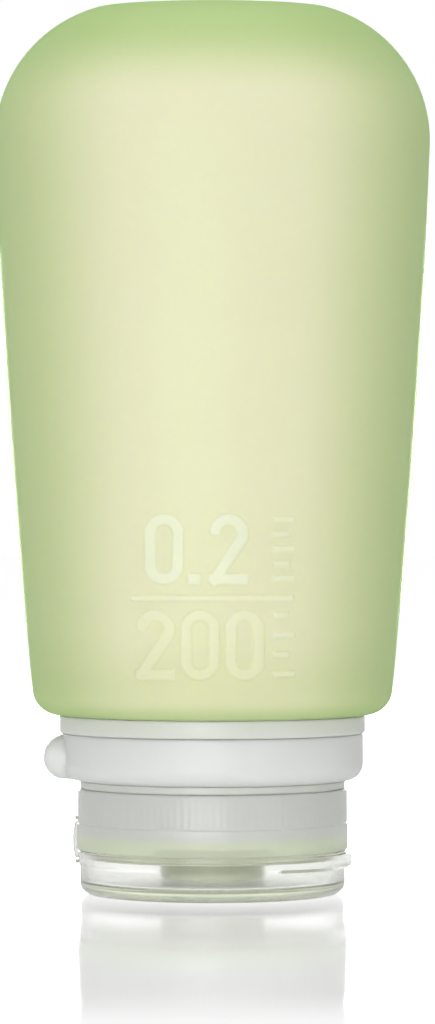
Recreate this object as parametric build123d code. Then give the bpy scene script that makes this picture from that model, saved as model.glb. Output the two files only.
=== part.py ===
from build123d import *
import math
import os

os.makedirs("parts", exist_ok=True)

# A squeeze bottle for travel, standing upside down on its flip cap.
# Z = 0 is the outer face of the flip lid, and the Z axis runs through the neck.
# X is the wide way of the oval body. The strap hinge lies behind and to the left.

# Neck and mouth of the silicone body, from the bore outwards
mouth_radius = 13.8
neck_wall = 2.5
lip_overhang = 1.6
lip_thickness = 1.45
lip_round = 0.5

# Hard collar round the neck
sleeve_gap = 0.05
sleeve_wall = 1.85
track_rise = 1.1
bead_rise = 0.55
bead_width = 0.9
band_height = 2.65
band_flange = 1.45
band_apron_wall = 1.4
band_overhang = 0.3
band_round = 0.3

# Printed index band and the ring that turns over it
print_band_gap = 0.05
print_band_wall = 1.3
print_band_end_gap = 0.25
ring_gap = 0.45
ring_wall = 1.5
ring_height = 6.85
ring_lip_height = 1.2
ring_lip_gap = 0.15
ring_base_round = 2.5
ring_seat_gap = 0.2
groove_gap = 0.25
groove_chamfer = 0.3

# Lug of the ring, with its contents window
lug_reach = 2.8
lug_inset = 0.15
lug_length = 5.0
window_length = 5.4
window_height = 3.0

# Screw cap
thread_clearance = 0.65
skirt_wall = 1.35
skirt_height = 9.1
skirt_round = 0.45
skirt_step = 0.15
skirt_step_height = 4.0
deck_thickness = 1.1
seat_gap = 0.05
stop_gap = 0.15

# Nozzle in the deck, with the seat of its valve
nozzle_radius = 7.8
nozzle_length = 4.3
nozzle_wall = 0.9
recess_depth = 0.6
recess_wall = 1.7
ledge_thickness = 0.6
aperture_radius = 4.9

# Slit valve and the ring that holds it
valve_side_gap = 0.15
valve_seat_gap = 0.05
valve_flange = 2.5
valve_rim_width = 2.35
membrane_thickness = 0.7
membrane_rise = 0.85
membrane_bow = 0.2
slit_length = 5.0
slit_width = 0.14
retainer_side_gap = 0.05
retainer_height = 1.3
retainer_wall = 2.1
retainer_chamfer = 0.5

# Flip lid
lid_height = 6.6
lid_setback = 0.1
lid_draft = 0.2
lid_base_round = 1.9
lid_wall = 1.35
lid_floor = 1.9
lid_inner_round = 0.8
rim_gap = 0.15
snap_gap = 0.35
snap_depth = 1.3
snap_wall = 1.1
snap_bead = 0.18
snap_bead_height = 0.4
plug_radius = 5.2
plug_wall = 1.0
plug_height = 1.0

# Thumb tab of the lid
tab_reach = 1.4
tab_radius = 15.8
tab_thickness = 2.2
tab_drop = 0.15
tab_round = 0.6

# Strap hinge
hinge_angle = 152.0
strap_width = 9.8
strap_thickness = 0.45
strap_span = 5.2
strap_bow = 0.4
strap_stand_off = 0.4
strap_end_gap = 0.12
bar_height = 0.65
hinge_below_step = 0.45

# Silicone body
shoulder_overhang = 0.2
shoulder_gap = 0.05
shoulder_width = 54.0
shoulder_depth = 49.2
shoulder_round = 3.9
bottle_width = 65.2
bottle_depth = 50.4
bottle_length = 105.7
side_bow = 0.6
corner_radius = 20.6
corner_depth_radius = 16.0
corner_angle = 74.0
body_wall = 2.8

# Where each section of the body lies along its shoulder, its side and its top corner
shoulder_shares = (0.0, 0.34, 0.67, 1.0)
side_shares = (0.12, 0.35, 0.6, 0.85)
corner_shares = (0.0, 0.2, 0.4, 0.6, 0.8, 1.0)

# How far a cut runs past what it cuts
overrun = 1.0

# Radii that follow from the neck outwards
neck_radius = mouth_radius + neck_wall
lip_radius = neck_radius + lip_overhang
sleeve_bore = neck_radius + sleeve_gap
thread_root = sleeve_bore + sleeve_wall
track_radius = thread_root + track_rise
bead_radius = track_radius + bead_rise
print_band_bore = track_radius + print_band_gap
print_band_radius = print_band_bore + print_band_wall
ring_bore = print_band_radius + ring_gap
ring_radius = ring_bore + ring_wall
band_radius = ring_radius + band_overhang
cap_bore = thread_root + thread_clearance
skirt_radius = cap_bore + skirt_wall
low_skirt_radius = skirt_radius + skirt_step
lid_rim_radius = skirt_radius - lid_setback
lid_base_radius = lid_rim_radius - lid_draft
lid_rim_bore = lid_rim_radius - lid_wall
lid_base_bore = lid_base_radius - lid_wall
snap_radius = lid_rim_bore - snap_gap
valve_bore = nozzle_radius - nozzle_wall
hinge_radius = low_skirt_radius + strap_stand_off

# Heights that follow from the lid upwards
deck_z = lid_height + rim_gap
deck_top_z = deck_z + deck_thickness
lip_z = deck_top_z + seat_gap
lip_top_z = lip_z + lip_thickness
collar_z = lip_top_z + seat_gap
skirt_top_z = deck_z + skirt_height
step_z = deck_z + skirt_step_height
bead_z = skirt_top_z + stop_gap
bead_top_z = bead_z + bead_width
ring_z = bead_top_z + ring_seat_gap
ring_top_z = ring_z + ring_height
ring_lip_z = ring_z + ring_lip_height
band_z = ring_top_z + groove_gap
band_top_z = band_z + band_height
flange_z = band_top_z - band_flange
body_z = band_top_z + shoulder_gap
nozzle_z = deck_z - nozzle_length
ledge_z = nozzle_z + recess_depth
ledge_top_z = ledge_z + ledge_thickness
valve_z = ledge_top_z + valve_seat_gap
valve_top_z = valve_z + valve_flange
retainer_z = valve_top_z + valve_seat_gap
upper_hinge_z = step_z - hinge_below_step
lower_hinge_z = upper_hinge_z - strap_span


def turned(outline):
    """A solid of revolution about Z from a closed outline in (radius, height)."""
    return revolve(Plane.XZ * make_face(outline), Axis.Z)


def tube(inner, outer, low, high):
    """A plain tube about Z."""
    return turned(Polyline((inner, low), (outer, low), (outer, high), (inner, high), close=True))


def toward_hinge(shape):
    """Turns a shape built along +X round to the strap hinge."""
    return Rot(0, 0, hinge_angle) * shape


def oval(height, half_width, half_depth):
    """One oval section of the body."""
    return Pos(0, 0, height) * scale(Circle(1), by=(half_width, half_depth, 1))


def body_form(inset, base_width, base_depth):
    """The body from its shoulder to its flat end, drawn in by an inset all over."""
    side_z = body_z + shoulder_round
    corner_z = body_z + bottle_length - corner_radius * math.sin(math.radians(corner_angle))
    low_width = shoulder_width / 2 - inset
    low_depth = shoulder_depth / 2 - inset
    high_width = bottle_width / 2 - inset
    high_depth = bottle_depth / 2 - inset
    sections = []
    for share in shoulder_shares:
        turn = share * math.pi / 2
        sections.append(oval(
            side_z - (shoulder_round - inset) * math.cos(turn),
            base_width + (low_width - base_width) * math.sin(turn),
            base_depth + (low_depth - base_depth) * math.sin(turn),
        ))
    for share in side_shares:
        swell = side_bow * 4 * share * (1 - share)
        sections.append(oval(
            side_z + (corner_z - side_z) * share,
            low_width + (high_width - low_width) * share + swell,
            low_depth + (high_depth - low_depth) * share + swell,
        ))
    for share in corner_shares:
        turn = math.radians(corner_angle) * share
        sections.append(oval(
            corner_z + (corner_radius - inset) * math.sin(turn),
            high_width - (corner_radius - inset) * (1 - math.cos(turn)),
            high_depth - (corner_depth_radius - inset) * (1 - math.cos(turn)),
        ))
    return loft(sections)


def squeeze_body():
    """Hollow silicone body, with its neck and the lip that seals on the cap."""
    base_radius = band_radius + shoulder_overhang
    cavity_round = shoulder_round - body_wall
    shell = body_form(0, base_radius, base_radius)
    shell += turned(Polyline(
        (0, lip_top_z), (neck_radius, lip_top_z), (neck_radius, body_z + body_wall), (0, body_z + body_wall),
        close=True,
    ))
    lip = Line((0, lip_z), (lip_radius - lip_round, lip_z))
    lip += RadiusArc((lip_radius - lip_round, lip_z), (lip_radius, lip_z + lip_round), -lip_round)
    lip += Polyline(
        (lip_radius, lip_z + lip_round), (lip_radius, lip_top_z), (0, lip_top_z), (0, lip_z),
    )
    shell += turned(lip)
    shell -= body_form(
        body_wall,
        shoulder_width / 2 - body_wall - cavity_round,
        shoulder_depth / 2 - body_wall - cavity_round,
    )
    bore = Cylinder(
        mouth_radius, body_z + body_wall + overrun - (lip_z - overrun),
        align=(Align.CENTER, Align.CENTER, Align.MIN),
    )
    return shell - Pos(0, 0, lip_z - overrun) * bore


def neck_collar():
    """Hard collar: threaded sleeve, retaining bead, track of the ring and upper band."""
    outline = Polyline(
        (sleeve_bore, collar_z),
        (thread_root, collar_z),
        (thread_root, bead_z),
        (bead_radius, bead_z),
        (bead_radius, bead_top_z),
        (track_radius, bead_top_z),
        (track_radius, flange_z),
        (band_radius - band_apron_wall, flange_z),
        (band_radius - band_apron_wall, band_z),
        (band_radius - groove_chamfer, band_z),
        (band_radius, band_z + groove_chamfer),
        (band_radius, band_top_z - band_round),
    )
    outline += RadiusArc(
        (band_radius, band_top_z - band_round), (band_radius - band_round, band_top_z), -band_round
    )
    outline += Polyline(
        (band_radius - band_round, band_top_z), (sleeve_bore, band_top_z), (sleeve_bore, collar_z)
    )
    return turned(outline)


def index_band():
    """Printed band on the track, read through the ring's window."""
    return tube(print_band_bore, print_band_radius, ring_lip_z + print_band_end_gap, flange_z - print_band_end_gap)


def ring_lug():
    """Round-nosed thumb lug at -X, flush with the ring's height."""
    lug_radius = ring_height / 2 - lug_inset
    centre_radius = ring_radius + lug_reach - lug_radius
    half_turn = math.degrees(lug_length / 2 / centre_radius)
    section = Plane.XZ * Pos(-centre_radius, ring_z + ring_height / 2) * Circle(lug_radius)
    lug = revolve(Rot(0, 0, -half_turn) * section, Axis.Z, revolution_arc=2 * half_turn)
    for side in (-1, 1):
        lug += Rot(0, 0, side * half_turn) * Pos(-centre_radius, 0, ring_z + ring_height / 2) * Sphere(lug_radius)
    core = tube(0, ring_bore + ring_wall / 2, ring_z - overrun, ring_top_z + overrun)
    return lug - core


def indicator_ring():
    """Turning ring: it runs on the track, above the retaining bead."""
    ring_lip_bore = track_radius + ring_lip_gap
    outline = Line((ring_lip_bore, ring_z), (ring_radius - ring_base_round, ring_z))
    outline += RadiusArc(
        (ring_radius - ring_base_round, ring_z), (ring_radius, ring_z + ring_base_round), -ring_base_round
    )
    outline += Polyline(
        (ring_radius, ring_z + ring_base_round),
        (ring_radius, ring_top_z - groove_chamfer),
        (ring_radius - groove_chamfer, ring_top_z),
        (ring_bore, ring_top_z),
        (ring_bore, ring_lip_z),
        (ring_lip_bore, ring_lip_z),
        (ring_lip_bore, ring_z),
    )
    window = Plane.YZ * SlotOverall(window_length, window_height)
    cut_length = ring_wall + lug_reach + 2 * overrun
    window = Pos(overrun - ring_bore, 0, ring_z + ring_height / 2) * extrude(window, -cut_length)
    return turned(outline) + ring_lug() - window


def hinge_bar(inner, height):
    """Small bar across the hinge, which the strap grows out of."""
    bar_length = hinge_radius + strap_thickness / 2 - inner
    bar = Box(bar_length, strap_width, bar_height, align=(Align.MIN, Align.CENTER, Align.MIN))
    return toward_hinge(Pos(inner, 0, height) * bar)


def cap_shell():
    """Screw cap: ribbed skirt, deck, snap ring for the lid and nozzle for the valve."""
    snap_z = deck_z - snap_depth
    outline = Line((cap_bore, skirt_top_z), (skirt_radius - skirt_round, skirt_top_z))
    outline += RadiusArc(
        (skirt_radius - skirt_round, skirt_top_z), (skirt_radius, skirt_top_z - skirt_round), skirt_round
    )
    outline += Polyline(
        (skirt_radius, skirt_top_z - skirt_round),
        (skirt_radius, step_z),
        (low_skirt_radius, step_z - skirt_step),
        (low_skirt_radius, deck_z),
        (snap_radius, deck_z),
        (snap_radius, snap_z + snap_bead_height),
        (snap_radius + snap_bead, snap_z + snap_bead_height / 2),
        (snap_radius, snap_z),
        (snap_radius - snap_wall, snap_z),
        (snap_radius - snap_wall, deck_z),
        (nozzle_radius, deck_z),
        (nozzle_radius, nozzle_z),
        (nozzle_radius - recess_wall, nozzle_z),
        (nozzle_radius - recess_wall, ledge_z),
        (aperture_radius, ledge_z),
        (aperture_radius, ledge_top_z),
        (valve_bore, ledge_top_z),
        (valve_bore, deck_top_z),
        (cap_bore, deck_top_z),
        (cap_bore, skirt_top_z),
    )
    return turned(outline) + hinge_bar(cap_bore + skirt_wall / 2, upper_hinge_z + strap_thickness / 2 + strap_end_gap)


def cap_valve():
    """Silicone valve: a thick rim and a bowed membrane with crossed slits."""
    rim_radius = valve_bore - valve_side_gap
    web_radius = rim_radius - valve_rim_width
    web_z = valve_z + membrane_thickness
    outline = SagittaArc((0, valve_z + membrane_rise), (web_radius, valve_z), membrane_bow)
    outline += Polyline(
        (web_radius, valve_z), (rim_radius, valve_z), (rim_radius, valve_top_z), (web_radius, valve_top_z),
        (web_radius, web_z),
    )
    outline += SagittaArc((web_radius, web_z), (0, web_z + membrane_rise), -membrane_bow)
    outline += Line((0, web_z + membrane_rise), (0, valve_z + membrane_rise))
    valve = turned(outline)
    for turn in (0, 90):
        slit = Box(slit_length, slit_width, valve_flange + 2 * overrun)
        valve -= Rot(0, 0, turn) * Pos(0, 0, valve_z + valve_flange / 2) * slit
    return valve


def valve_retainer():
    """Hard ring pressed in behind the valve."""
    outer = valve_bore - retainer_side_gap
    inner = outer - retainer_wall
    top = retainer_z + retainer_height
    return turned(Polyline(
        (inner, retainer_z),
        (outer, retainer_z),
        (outer, top),
        (inner + retainer_chamfer, top),
        (inner, top - retainer_chamfer),
        close=True,
    ))


def flip_lid():
    """Clear lid: cup with a snap bead, a plug ring, a thumb tab and a hinge bar."""
    bead_centre_z = lid_height - snap_bead_height / 2
    plug_top_z = lid_floor + plug_height
    outline = Line((0, 0), (lid_base_radius - lid_base_round, 0))
    outline += RadiusArc(
        (lid_base_radius - lid_base_round, 0), (lid_base_radius, lid_base_round), -lid_base_round
    )
    outline += Polyline(
        (lid_base_radius, lid_base_round),
        (lid_rim_radius, lid_height),
        (lid_rim_bore, lid_height),
        (lid_rim_bore - snap_bead, bead_centre_z),
        (lid_rim_bore, bead_centre_z - snap_bead_height / 2),
        (lid_base_bore, lid_floor + lid_inner_round),
    )
    outline += RadiusArc(
        (lid_base_bore, lid_floor + lid_inner_round), (lid_base_bore - lid_inner_round, lid_floor), lid_inner_round
    )
    outline += Polyline(
        (lid_base_bore - lid_inner_round, lid_floor),
        (plug_radius, lid_floor),
        (plug_radius, plug_top_z),
        (plug_radius - plug_wall, plug_top_z),
        (plug_radius - plug_wall, lid_floor),
        (0, lid_floor),
        (0, 0),
    )
    lid = turned(outline)
    tab_centre = lid_rim_radius + tab_reach - tab_radius
    tab_z = lid_height - tab_drop - tab_thickness
    disc = Cylinder(tab_radius, tab_thickness, align=(Align.CENTER, Align.CENTER, Align.MIN))
    disc = fillet(disc.edges().group_by(Axis.Z)[0], tab_round)
    core = tube(0, lid_base_radius - lid_wall / 2, tab_z - overrun, lid_height + overrun)
    tab = toward_hinge(Pos(-tab_centre, 0, tab_z) * disc) - core
    bar_z = lower_hinge_z - strap_thickness / 2 - strap_end_gap - bar_height
    return lid + tab + hinge_bar(lid_base_radius - lid_wall / 2, bar_z)


def hinge_strap():
    """Bowed strap between the cap's bar and the lid's bar, with round ends on the hinge lines."""
    half = strap_thickness / 2
    middle_z = (upper_hinge_z + lower_hinge_z) / 2
    outline = ThreePointArc(
        (hinge_radius + half, lower_hinge_z),
        (hinge_radius + half + strap_bow, middle_z),
        (hinge_radius + half, upper_hinge_z),
    )
    outline += ThreePointArc(
        (hinge_radius + half, upper_hinge_z),
        (hinge_radius, upper_hinge_z + half),
        (hinge_radius - half, upper_hinge_z),
    )
    outline += ThreePointArc(
        (hinge_radius - half, upper_hinge_z),
        (hinge_radius - half + strap_bow, middle_z),
        (hinge_radius - half, lower_hinge_z),
    )
    outline += ThreePointArc(
        (hinge_radius - half, lower_hinge_z),
        (hinge_radius, lower_hinge_z - half),
        (hinge_radius + half, lower_hinge_z),
    )
    strap = extrude(Plane.XZ * make_face(outline), strap_width / 2, both=True)
    return toward_hinge(strap)


def hinge_point(height):
    """A point of a hinge line, at its middle, in the bottle's frame."""
    turn = math.radians(hinge_angle)
    return (round(hinge_radius * math.cos(turn), 4), round(hinge_radius * math.sin(turn), 4), round(height, 4))


pieces = {
    "squeeze_body": squeeze_body(),
    "neck_collar": neck_collar(),
    "index_band": index_band(),
    "indicator_ring": indicator_ring(),
    "cap_shell": cap_shell(),
    "cap_valve": cap_valve(),
    "valve_retainer": valve_retainer(),
    "flip_lid": flip_lid(),
    "hinge_strap": hinge_strap(),
}
for node, shape in pieces.items():
    export_step(shape, f"parts/{node}.step")

print("upper hinge line", hinge_point(upper_hinge_z))
print("lower hinge line", hinge_point(lower_hinge_z))
print("end of the bottle", round(body_z + bottle_length, 3))
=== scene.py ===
import math
import bmesh
import bpy
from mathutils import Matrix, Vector


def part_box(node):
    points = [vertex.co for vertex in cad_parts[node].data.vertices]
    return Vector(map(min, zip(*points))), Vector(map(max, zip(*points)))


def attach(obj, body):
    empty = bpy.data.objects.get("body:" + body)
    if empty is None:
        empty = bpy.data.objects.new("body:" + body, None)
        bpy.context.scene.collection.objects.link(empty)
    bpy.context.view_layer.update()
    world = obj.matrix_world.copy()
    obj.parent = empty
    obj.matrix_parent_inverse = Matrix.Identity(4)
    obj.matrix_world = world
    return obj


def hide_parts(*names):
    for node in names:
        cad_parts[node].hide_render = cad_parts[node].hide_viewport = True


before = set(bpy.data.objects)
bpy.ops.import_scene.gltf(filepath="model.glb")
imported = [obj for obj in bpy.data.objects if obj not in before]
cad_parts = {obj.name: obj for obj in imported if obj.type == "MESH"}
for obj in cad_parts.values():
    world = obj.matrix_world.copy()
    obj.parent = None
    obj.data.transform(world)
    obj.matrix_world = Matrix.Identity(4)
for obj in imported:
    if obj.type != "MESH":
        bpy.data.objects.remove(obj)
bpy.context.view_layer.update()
scene = bpy.context.scene
mm = 0.001


# Squeeze body
# The soft body is one moulding of frosted silicone: an oval shell with an even wall, a round neck
# and a lip at the neck's end that seals on the cap. Its capacity marks stand proud of the front.
body_low, body_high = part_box("squeeze_body")
collar_low, collar_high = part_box("neck_collar")
body_wall = 2.8 * mm
mouth_radius = 13.8 * mm
neck_radius = 16.3 * mm
lip_radius = 17.9 * mm
lip_thickness = 1.45 * mm
lip_round = 0.5 * mm
shoulder_foot = 23.1 * mm
shoulder_half_width = 27.0 * mm
shoulder_half_depth = 24.6 * mm
shoulder_round = 3.9 * mm
end_half_width = 32.6 * mm
end_half_depth = 25.2 * mm
side_bow = 0.6 * mm
corner_radius = 20.6 * mm
corner_depth_radius = 16.0 * mm
corner_angle = math.radians(74)
shoulder_steps, corner_steps = 10, 24
end_rings = (0.66, 0.33, 0)
side_start = 0.6 * mm
outer_step, inner_step = 2 * mm, 3 * mm
lip_steps = 6
front_steps, back_steps = 150, 110
foot_z = collar_high.z + 0.05 * mm
side_z = foot_z + shoulder_round
corner_z = body_high.z - corner_radius * math.sin(corner_angle)

# The raised marks are one plain number over another, a line between them and a short scale beside
# each, moulded in the body's own silicone: bold strokes for the numbers, fine ones for the rest.
mark_height = 0.23 * mm
mark_edge = 0.3 * mm
mark_stroke = 1.55 * mm
fine_stroke = 0.8 * mm
digit_height = 10.2 * mm
digit_width = 5.6 * mm
dot_half = 0.2 * mm
two_leave, two_start = -38, 168
upper_base = 46.8 * mm
lower_base = 32.9 * mm
upper_digits = (("0", -7.0 * mm), (".", -2.6 * mm), ("2", 2.4 * mm))
lower_digits = (("2", -8.3 * mm), ("0", -1.8 * mm), ("0", 4.7 * mm))
line_z = 44.75 * mm
line_half = 11.4 * mm
upper_ticks, lower_ticks = 5, 4
marks_half_width = 12.7 * mm
fine_step = 0.17 * mm
tick_start, tick_end, short_tick_end = 9.2 * mm, 11.6 * mm, 10.8 * mm


def digit_strokes(digit, centre, base):
    """The centre lines of a digit, as runs (ends) and bends (centre, radius, angles in degrees)."""
    inset = mark_stroke / 2
    radius = digit_width / 2 - inset
    low, high = base + inset, base + digit_height - inset
    if digit == "0":
        return [
            ("run", centre - radius, low + radius, centre - radius, high - radius),
            ("run", centre + radius, low + radius, centre + radius, high - radius),
            ("bend", centre, high - radius, radius, 0, 180),
            ("bend", centre, low + radius, radius, 180, 360),
        ]
    if digit == "2":
        leave = math.radians(two_leave)
        leave_x = centre + radius * math.cos(leave)
        leave_z = high - radius + radius * math.sin(leave)
        return [
            ("bend", centre, high - radius, radius, two_leave, two_start),
            ("run", leave_x, leave_z, centre - radius, low),
            ("run", centre - radius, low, centre + radius, low),
        ]
    return [("run", centre - dot_half, low, centre + dot_half, low)]


def stroke_distance(stroke, across, height):
    """How far a point of the front lies from a stroke's centre line."""
    if stroke[0] == "run":
        x0, z0, x1, z1 = stroke[1:]
        length = math.hypot(x1 - x0, z1 - z0)
        along = ((across - x0) * (x1 - x0) + (height - z0) * (z1 - z0)) / length
        aside = ((across - x0) * (z1 - z0) - (height - z0) * (x1 - x0)) / length
        return max(abs(aside), -along, along - length)
    x0, z0, radius, start, end = stroke[1:]
    turn = math.degrees(math.atan2(height - z0, across - x0))
    while turn < start:
        turn += 360
    if turn <= end:
        return abs(math.hypot(across - x0, height - z0) - radius)
    reaches = []
    for angle in (math.radians(start), math.radians(end)):
        x, z = x0 + radius * math.cos(angle), z0 + radius * math.sin(angle)
        reaches.append(math.hypot(across - x, height - z))
    return min(reaches)


bold_strokes = []
for base, digits in ((upper_base, upper_digits), (lower_base, lower_digits)):
    for digit, centre in digits:
        bold_strokes += digit_strokes(digit, centre, base)
fine_strokes = [("run", -line_half, line_z, line_half, line_z)]
for base, ticks in ((upper_base, upper_ticks), (lower_base, lower_ticks)):
    for tick in range(ticks):
        height = base + fine_stroke + tick * (digit_height - 2 * fine_stroke) / (ticks - 1)
        stop = tick_end if tick % 2 == 0 else short_tick_end
        fine_strokes.append(("run", tick_start, height, stop, height))


def mark_rise(across, height):
    """How far the front stands proud at a point."""
    rise = 0
    for strokes, width in ((bold_strokes, mark_stroke), (fine_strokes, fine_stroke)):
        nearest = min(stroke_distance(stroke, across, height) for stroke in strokes)
        share = min(1, max(0, (width / 2 + mark_edge / 2 - nearest) / mark_edge))
        rise = max(rise, share * share * (3 - 2 * share))
    return rise * mark_height


def skin(name, sections, turns, place):
    """A closed skin through each section's points. A row shrunk to one point is welded shut."""
    points = [place(section, turn) for section in sections for turn in turns]
    across, along = len(turns), len(sections)
    faces = []
    for row in range(along):
        lower, upper = row * across, (row + 1) % along * across
        for column in range(across):
            beside = (column + 1) % across
            faces.append((lower + column, lower + beside, upper + beside, upper + column))
    mesh = bpy.data.meshes.new(name)
    mesh.from_pydata(points, [], faces)
    smooth_and_close(mesh)
    piece = bpy.data.objects.new(name, mesh)
    scene.collection.objects.link(piece)
    return piece


def smooth_and_close(mesh, crease=35, weld=0.0005 * mm):
    """Merges seams and poles, turns the faces outwards and keeps edges past the crease sharp."""
    work = bmesh.new()
    work.from_mesh(mesh)
    bmesh.ops.remove_doubles(work, verts=work.verts, dist=weld)
    bmesh.ops.recalc_face_normals(work, faces=work.faces)
    work.to_mesh(mesh)
    work.free()
    mesh.shade_smooth()
    mesh.set_sharp_from_angle(angle=math.radians(crease))


def body_skin(inset, foot_width, foot_depth, heights):
    """Ovals from the shoulder's foot to the flat end, as (height, half width, half depth)."""
    sections = []
    for step in range(shoulder_steps + 1):
        turn = step / shoulder_steps * math.pi / 2
        sections.append((
            side_z - (shoulder_round - inset) * math.cos(turn),
            foot_width + (shoulder_half_width - inset - foot_width) * math.sin(turn),
            foot_depth + (shoulder_half_depth - inset - foot_depth) * math.sin(turn),
        ))
    for height in heights:
        share = (height - side_z) / (corner_z - side_z)
        swell = side_bow * 4 * share * (1 - share) - inset
        sections.append((
            height,
            shoulder_half_width + (end_half_width - shoulder_half_width) * share + swell,
            shoulder_half_depth + (end_half_depth - shoulder_half_depth) * share + swell,
        ))
    for step in range(corner_steps + 1):
        turn = step / corner_steps * corner_angle
        sections.append((
            corner_z + (corner_radius - inset) * math.sin(turn),
            end_half_width - inset - (corner_radius - inset) * (1 - math.cos(turn)),
            end_half_depth - inset - (corner_depth_radius - inset) * (1 - math.cos(turn)),
        ))
    height, half_width, half_depth = sections[-1]
    for share in end_rings:
        sections.append((height, half_width * share, half_depth * share))
    return sections


def stepped(low, high, step):
    """Even heights between two, both ends left out."""
    count = max(1, round((high - low) / step))
    return [low + (high - low) * k / count for k in range(1, count)]


def body_point(section, turn):
    """A point of an oval section, pushed out where a mark stands proud of the outer front."""
    height, half_width, half_depth = section[:3]
    x, y = half_width * math.cos(turn), half_depth * math.sin(turn)
    marked = len(section) > 3 and y < 0 and abs(x) < marks_half_width
    if marked:
        outward = Vector((x / half_width ** 2, y / half_depth ** 2, 0)).normalized()
        push = outward * mark_rise(x, height)
        x, y = x + push.x, y + push.y
    return x, y, height


marks_low, marks_high = lower_base - fine_stroke, upper_base + digit_height + fine_stroke
outer_heights = [side_z + side_start] + stepped(marks_low, marks_high, fine_step)
outer_heights += stepped(marks_high, corner_z, outer_step)
outer = [
    section + (True,) if marks_low < section[0] < marks_high else section
    for section in body_skin(0, shoulder_foot, shoulder_foot, outer_heights)
]
cavity_round = shoulder_round - body_wall
inner = body_skin(
    body_wall,
    shoulder_half_width - body_wall - cavity_round,
    shoulder_half_depth - body_wall - cavity_round,
    stepped(side_z, corner_z, inner_step),
)
lip_top = body_low.z + lip_thickness
neck = [(inner[0][0], mouth_radius, mouth_radius), (body_low.z, mouth_radius, mouth_radius)]
for step in range(lip_steps + 1):
    turn = step / lip_steps * math.pi / 2
    reach = lip_radius - lip_round * (1 - math.sin(turn))
    neck.append((body_low.z + lip_round * (1 - math.cos(turn)), reach, reach))
for height, reach in ((lip_top, lip_radius), (lip_top, neck_radius), (foot_z, neck_radius)):
    neck.append((height, reach, reach))
front = math.asin(marks_half_width / shoulder_half_width)
back = 2 * math.pi - 2 * front
body_turns = [-math.pi / 2 - front + k * 2 * front / front_steps for k in range(front_steps + 1)]
body_turns += [-math.pi / 2 + front + k * back / back_steps for k in range(1, back_steps)]
squeeze_body = skin("squeeze_body_skin", inner[::-1] + neck + outer, body_turns, body_point)


usual_grain, usual_cloud = 2500, 90


def moulded_skin():
    """The fine skin of a mould: grain for the bump, and slow clouds for colour and roughness."""
    group = bpy.data.node_groups.new("Moulded skin", "ShaderNodeTree")
    for name, direction in (
        ("Grain Scale", "INPUT"), ("Cloud Scale", "INPUT"),
        ("Grain", "OUTPUT"), ("Cloud", "OUTPUT"),
    ):
        group.interface.new_socket(name, in_out=direction, socket_type="NodeSocketFloat")
    inputs = group.nodes.new("NodeGroupInput")
    outputs = group.nodes.new("NodeGroupOutput")
    place = group.nodes.new("ShaderNodeTexCoord")
    for name, detail in (("Grain", 3), ("Cloud", 2)):
        noise = group.nodes.new("ShaderNodeTexNoise")
        noise.inputs["Detail"].default_value = detail
        group.links.new(place.outputs["Object"], noise.inputs["Vector"])
        group.links.new(inputs.outputs[name + " Scale"], noise.inputs["Scale"])
        group.links.new(noise.outputs["Fac"], outputs.inputs[name])
    return group


moulded = moulded_skin()


def ranged(tree, value, low, high, to_low, to_high, kind="LINEAR"):
    """Maps a socket's value from one range to another, and returns the result's socket."""
    node = tree.nodes.new("ShaderNodeMapRange")
    node.interpolation_type = kind
    for name, bound in (
        ("From Min", low), ("From Max", high), ("To Min", to_low), ("To Max", to_high),
    ):
        node.inputs[name].default_value = bound
    tree.links.new(value, node.inputs["Value"])
    return node.outputs["Result"]


def moulded_plastic(
    name, colour, cloud_colour, roughness, grain_depth,
    grain_scale=usual_grain, cloud_scale=usual_cloud,
):
    """A moulded material: colour and roughness drift with the clouds, and the bump is the grain."""
    material = bpy.data.materials.new(name)
    material.use_nodes = True
    tree = material.node_tree
    shader = tree.nodes["Principled BSDF"]
    skin_node = tree.nodes.new("ShaderNodeGroup")
    skin_node.node_tree = moulded
    skin_node.inputs["Grain Scale"].default_value = grain_scale
    skin_node.inputs["Cloud Scale"].default_value = cloud_scale
    tint = tree.nodes.new("ShaderNodeMix")
    tint.data_type = "RGBA"
    tint.inputs[6].default_value = (*colour, 1)
    tint.inputs[7].default_value = (*cloud_colour, 1)
    tree.links.new(skin_node.outputs["Cloud"], tint.inputs[0])
    tree.links.new(tint.outputs[2], shader.inputs["Base Color"])
    drift = ranged(tree, skin_node.outputs["Cloud"], 0, 1, *roughness)
    tree.links.new(drift, shader.inputs["Roughness"])
    bump = tree.nodes.new("ShaderNodeBump")
    bump.inputs["Strength"].default_value = 1
    bump.inputs["Distance"].default_value = grain_depth
    tree.links.new(skin_node.outputs["Grain"], bump.inputs["Height"])
    tree.links.new(bump.outputs["Normal"], shader.inputs["Normal"])
    return material, tree, shader


def finished(shader, values):
    """Sets the plain values of a finish on the shader's own sockets."""
    for name, value in values.items():
        shader.inputs[name].default_value = value


def soak(tree, colour, density):
    """Light is taken up on its way through the plastic, so thick places look deeper in colour."""
    absorption = tree.nodes.new("ShaderNodeVolumeAbsorption")
    absorption.inputs["Color"].default_value = (*colour, 1)
    absorption.inputs["Density"].default_value = density
    tree.links.new(absorption.outputs["Volume"], tree.nodes["Material Output"].inputs["Volume"])


def blended(tree, shader, mask, colour):
    """Mixes a colour over the base colour by a mask."""
    mix = tree.nodes.new("ShaderNodeMix")
    mix.data_type = "RGBA"
    tree.links.new(mask, mix.inputs[0])
    tree.links.new(shader.inputs["Base Color"].links[0].from_socket, mix.inputs[6])
    mix.inputs[7].default_value = (*colour, 1)
    tree.links.new(mix.outputs[2], shader.inputs["Base Color"])


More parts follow.
